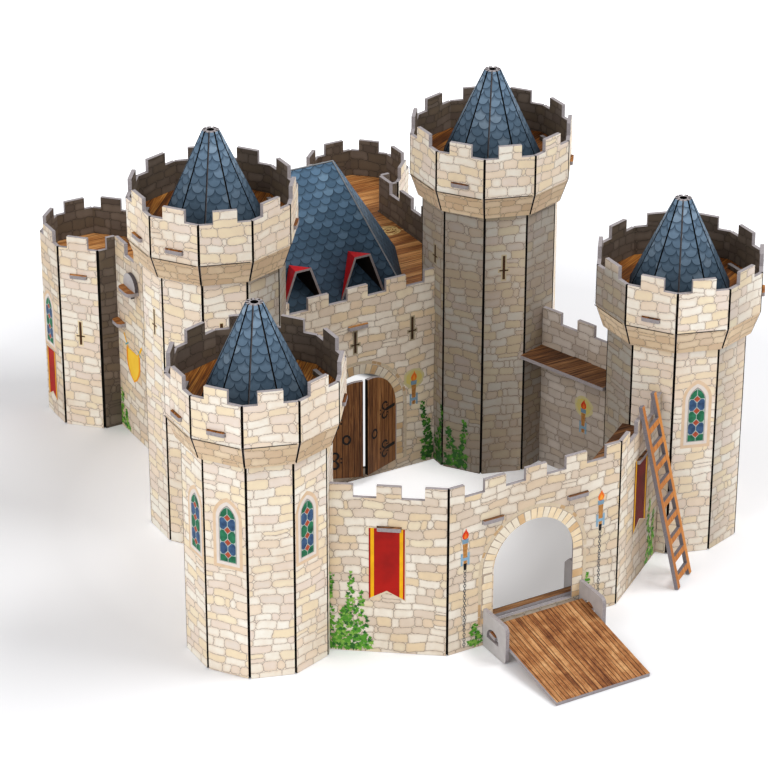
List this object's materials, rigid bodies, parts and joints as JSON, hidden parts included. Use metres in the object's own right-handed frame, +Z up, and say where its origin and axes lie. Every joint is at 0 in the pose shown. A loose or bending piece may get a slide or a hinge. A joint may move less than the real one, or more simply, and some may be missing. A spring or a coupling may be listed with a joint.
{
  "type": "cardboard castle",
  "caption": "Slotted greyboard toy castle: crowned corner towers, folded gate wall with a drawbridge, courtyard, and a keep with bastions, decks, hipped roof and leaning ladder",
  "frame": {"origin": "middle of the footprint's bounding box, on the ground", "axes": "+Z up, +Y from the gate to the keep, +X to the right as seen from the gate"},
  "size_m": [0.448, 0.5714, 0.301],
  "materials": {
    "printed_board": "satin",
    "plank_board": "satin",
    "slate_board": "satin",
    "red_card": "satin",
    "grey_board": "matte"
  },
  "bodies": {
    "castle": {"tower_body_front_left": "printed_board", "tower_body_front_right": "printed_board", "tower_body_keep_left": "printed_board", "tower_body_keep_right": "printed_board", "crown_front_left": "printed_board", "crown_front_right": "printed_board", "crown_keep_left": "printed_board", "crown_keep_right": "printed_board", "crown_floor_front_left": "plank_board", "crown_floor_front_right": "plank_board", "crown_floor_keep_left": "plank_board", "crown_floor_keep_right": "plank_board", "cone_roof_front_left": "slate_board", "cone_roof_front_right": "slate_board", "cone_roof_keep_left": "slate_board", "cone_roof_keep_right": "slate_board", "gate_wall": "printed_board", "gate_walkway": "plank_board", "west_wall": "printed_board", "east_wall": "printed_board", "west_walkway": "plank_board", "east_walkway": "plank_board", "gate_bracket_left": "grey_board", "gate_bracket_right": "grey_board", "threshold_plank": "plank_board", "keep_front_wall": "printed_board", "keep_west_wall": "printed_board", "keep_east_wall": "printed_board", "deck_key_west": "grey_board", "deck_key_east": "grey_board", "keep_rear_wall": "printed_board", "keep_deck": "plank_board", "keep_room_floor": "plank_board", "keep_roof": "slate_board", "dormer_left": "red_card", "dormer_right": "red_card", "ladder": "plank_board"},
    "drawbridge": {"drawbridge": "plank_board"}
  },
  "joints": [
    {"name": "drawbridge_hinge", "type": "hinge", "parent": "castle", "child": "drawbridge", "pos_m": [0, -0.20993, 0.0137], "axis": [-1, 0, 0], "range_deg": [0, 99]}
  ]
}
